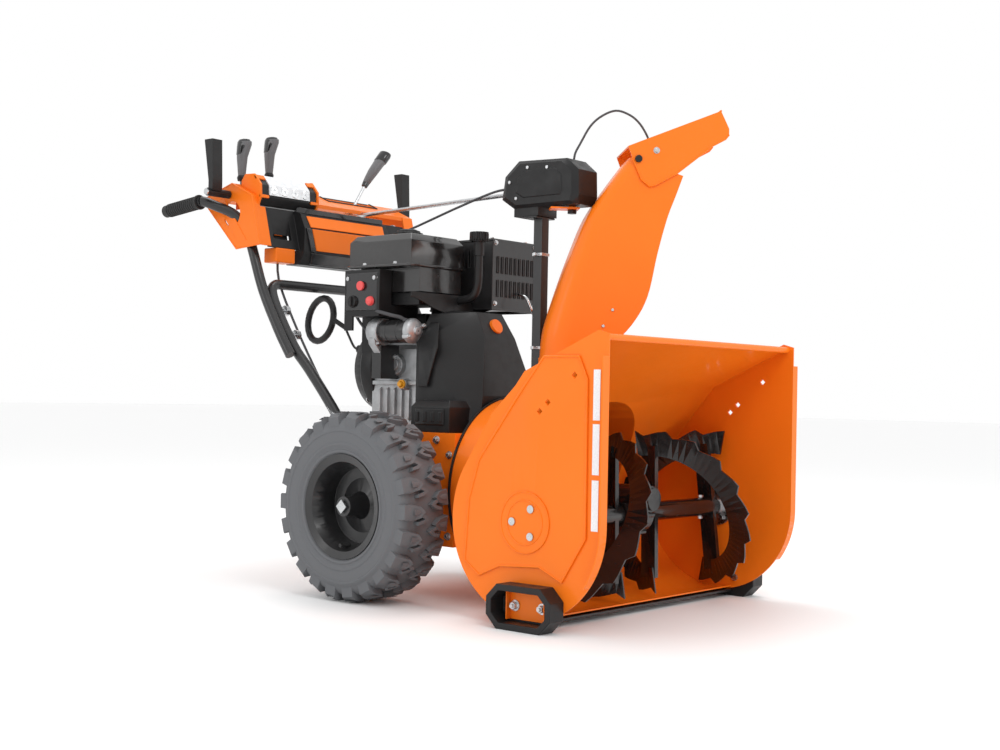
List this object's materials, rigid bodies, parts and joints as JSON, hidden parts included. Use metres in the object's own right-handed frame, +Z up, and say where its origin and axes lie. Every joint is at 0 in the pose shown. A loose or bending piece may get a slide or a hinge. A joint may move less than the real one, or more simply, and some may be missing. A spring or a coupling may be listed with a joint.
{
  "type": "two stage snowblower",
  "caption": "Wheeled two stage snowblower with toothed ribbon augers, impeller drum, turning chute with deflector, engine and handlebar dash with levers",
  "frame": {"origin": "centre of the bounding box in plan, on the ground the wheels and skids stand on", "axes": "+Z up, -Y the front where snow goes in, +Y the operator end, +X the machine's own left"},
  "size_m": [0.799, 1.4086, 1.1103],
  "materials": {
    "orange_paint": "gloss powder coat",
    "black_paint": "satin powder coat",
    "black_flights": "satin powder coat, a little scuffed",
    "zinc": "zinc plated",
    "cast_grey": "as cast, sealed",
    "engine_alloy": "die cast, rough",
    "black_plastic": "fine grained",
    "orange_plastic": "smooth moulded",
    "lever_grey": "soft touch",
    "rubber_grip": "fine ribbed",
    "tyre_rubber": "new, slightly dusty",
    "belt_rubber": "fabric faced",
    "cable_jacket": "smooth",
    "reflective": "prismatic",
    "lamp": "moulded, clear cover",
    "red_plastic": "smooth"
  },
  "bodies": {
    "frame": {"auger_housing": "orange_paint", "side_plate_right": "orange_paint", "side_plate_left": "orange_paint", "impeller_drum": "orange_paint", "scraper_bar": "black_paint", "skid_shoes": "black_plastic", "skid_brackets": "orange_paint", "reflectors": "reflective", "fasteners": "zinc", "shaft_bearings": "cast_grey", "gearcase": "cast_grey", "drive_belts": "belt_rubber", "belt_cover": "black_plastic", "chassis": "orange_paint", "traction_gearcase": "cast_grey", "engine_block": "engine_alloy", "recoil_cover": "black_plastic", "starter_motor": "black_paint", "fuel_tank": "black_plastic", "control_box": "black_plastic", "muffler": "black_paint", "oil_tube": "black_paint", "chute_pole": "black_paint", "gear_head": "black_plastic", "handlebar": "black_paint", "dash": "orange_plastic", "dash_panel": "black_plastic", "headlight": "lamp", "hand_grips": "rubber_grip", "control_cables": "cable_jacket"},
    "auger": {"auger_shaft": "zinc", "auger_right": "black_flights", "auger_left": "black_flights", "worm_wheel": "cast_grey"},
    "impeller": {"impeller_shaft": "zinc", "impeller": "black_flights", "impeller_pulley": "cast_grey"},
    "crank": {"crank_pulley": "cast_grey"},
    "disc": {"drive_disc": "cast_grey"},
    "hex": {"hex_shaft": "zinc"},
    "friction": {"friction_wheel": "rubber_grip"},
    "wheel_right": {"tyre_right": "tyre_rubber", "rim_right": "black_paint", "axle_right": "zinc"},
    "wheel_left": {"tyre_left": "tyre_rubber", "rim_left": "black_paint", "axle_left": "zinc"},
    "recoil": {"recoil_handle": "black_plastic"},
    "fuel_cap": {"fuel_cap": "black_plastic"},
    "oil_cap": {"oil_cap": "black_plastic"},
    "switch": {"stop_switch": "red_plastic"},
    "chute": {"chute": "orange_paint", "deflector_pin": "black_paint", "deflector_cable": "cable_jacket"},
    "deflector": {"deflector": "orange_paint"},
    "rod": {"chute_rod": "zinc"},
    "speed": {"speed_lever": "lever_grey"},
    "tilt": {"deflector_lever": "lever_grey"},
    "clutch_right": {"clutch_right": "black_plastic"},
    "clutch_left": {"clutch_left": "black_plastic"}
  },
  "joints": [
    {"name": "wheel_right_spin", "type": "hinge", "parent": "frame", "child": "wheel_right", "pos_m": [-0.327, -0.02531, 0.207], "axis": [1, 0, 0], "continuous": true},
    {"name": "wheel_left_spin", "type": "hinge", "parent": "frame", "child": "wheel_left", "pos_m": [0.327, -0.02531, 0.207], "axis": [1, 0, 0], "continuous": true},
    {"name": "auger_spin", "type": "hinge", "parent": "frame", "child": "auger", "pos_m": [0, -0.51131, 0.207], "axis": [1, 0, 0], "continuous": true},
    {"name": "impeller_spin", "type": "hinge", "parent": "frame", "child": "impeller", "pos_m": [0, -0.32531, 0.24], "axis": [0, 1, 0], "continuous": true},
    {"name": "crank_spin", "type": "hinge", "parent": "frame", "child": "crank", "pos_m": [0, -0.12131, 0.514], "axis": [0, 1, 0], "continuous": true},
    {"name": "drive_disc_spin", "type": "hinge", "parent": "frame", "child": "disc", "pos_m": [0, 0.04869, 0.29], "axis": [0, 1, 0], "continuous": true},
    {"name": "hex_shaft_spin", "type": "hinge", "parent": "frame", "child": "hex", "pos_m": [0, 0.09969, 0.29], "axis": [1, 0, 0], "continuous": true},
    {"name": "friction_wheel_slide", "type": "slide", "parent": "hex", "child": "friction", "axis": [1, 0, 0], "range_m": [-0.036, 0.021]},
    {"name": "speed_lever_tilt", "type": "hinge", "parent": "frame", "child": "speed", "pos_m": [-0.15, 0.52169, 0.915], "axis": [1, 0, 0], "range_deg": [-35, 20]},
    {"name": "chute_rotate", "type": "hinge", "parent": "frame", "child": "chute", "pos_m": [0, -0.33831, 0.6], "axis": [0, 0, 1], "range_deg": [-135, 45]},
    {"name": "chute_rod_spin", "type": "hinge", "parent": "frame", "child": "rod", "pos_m": [0, -0.31431, 0.925], "axis": [0.1263, 0.992, -0.0037], "range_deg": [-90.1, 30.1]},
    {"name": "deflector_tilt", "type": "hinge", "parent": "chute", "child": "deflector", "pos_m": [0.09475, -0.43306, 0.978], "axis": [0.7071, 0.7071, 0], "range_deg": [0, 50]},
    {"name": "deflector_lever_tilt", "type": "hinge", "parent": "frame", "child": "tilt", "pos_m": [-0.238, 0.52169, 0.915], "axis": [1, 0, 0], "range_deg": [-35, 0]},
    {"name": "clutch_right_press", "type": "hinge", "parent": "frame", "child": "clutch_right", "pos_m": [-0.33, 0.51469, 0.937], "axis": [-1, 0, 0], "range_deg": [0, 70], "stiffness_Nm_per_rad": 0.8, "springref_deg": -17.19},
    {"name": "clutch_left_press", "type": "hinge", "parent": "frame", "child": "clutch_left", "pos_m": [0.33, 0.51469, 0.937], "axis": [-1, 0, 0], "range_deg": [0, 70], "stiffness_Nm_per_rad": 0.8, "springref_deg": -17.19},
    {"name": "recoil_pull", "type": "slide", "parent": "frame", "child": "recoil", "axis": [0, 1, 0], "range_m": [0, 0.3], "stiffness_N_per_m": 30, "springref_m": -0.05},
    {"name": "stop_switch_push", "type": "slide", "parent": "frame", "child": "switch", "axis": [1, 0, 0], "range_m": [0, 0.0035], "stiffness_N_per_m": 500, "springref_m": -0.002},
    {"name": "fuel_cap_turn", "type": "hinge", "parent": "frame", "child": "fuel_cap", "pos_m": [-0.088, 0.08269, 0.83], "axis": [0, 0, 1], "range_deg": [0, 90]},
    {"name": "oil_cap_turn", "type": "hinge", "parent": "frame", "child": "oil_cap", "pos_m": [-0.022, -0.08331, 0.82], "axis": [0, 0, 1], "range_deg": [0, 90]}
  ],
  "couplings": [
    {"joint": "impeller_spin", "follows": "auger_spin", "ratio": 10},
    {"joint": "chute_rod_spin", "follows": "chute_rotate", "ratio": 0.6667},
    {"joint": "deflector_tilt", "follows": "deflector_lever_tilt", "ratio": -1.42},
    {"joint": "friction_wheel_slide", "follows": "speed_lever_tilt", "m_per_rad": 0.0573}
  ]
}
